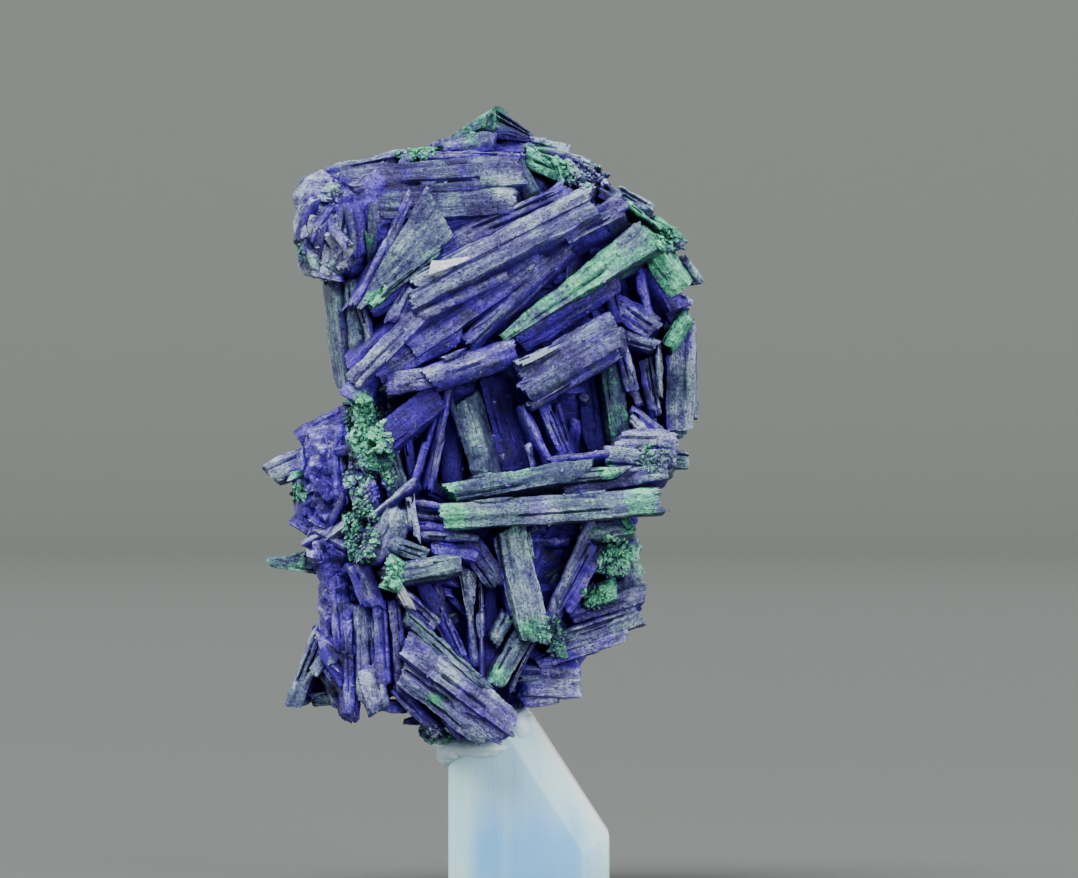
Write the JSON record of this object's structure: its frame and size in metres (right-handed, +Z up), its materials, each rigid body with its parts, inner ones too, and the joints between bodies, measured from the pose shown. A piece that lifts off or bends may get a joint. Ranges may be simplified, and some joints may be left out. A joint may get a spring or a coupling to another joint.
{
  "type": "azurite specimen",
  "caption": "Upright cluster of bladed azurite crystals, part turned to malachite, held by putty on a short square plastic post with an obliquely cut tip.",
  "frame": {"origin": "centre of the post's flat foot", "axes": "+Z up along the post, -Y towards the pictured front, +X to the right of the picture"},
  "size_m": [0.0176, 0.0137, 0.0319],
  "materials": {
    "azurite": "dark blue crystal blades with a dull to glassy lustre, coated with green in places",
    "putty": "white mounting putty, pressed by hand",
    "post": "translucent pale blue-white plastic bar, sawn and lightly polished"
  },
  "bodies": {
    "root": {"azurite_cluster": "azurite", "mounting_putty": "putty", "plastic_post": "post"}
  },
  "joints": []
}
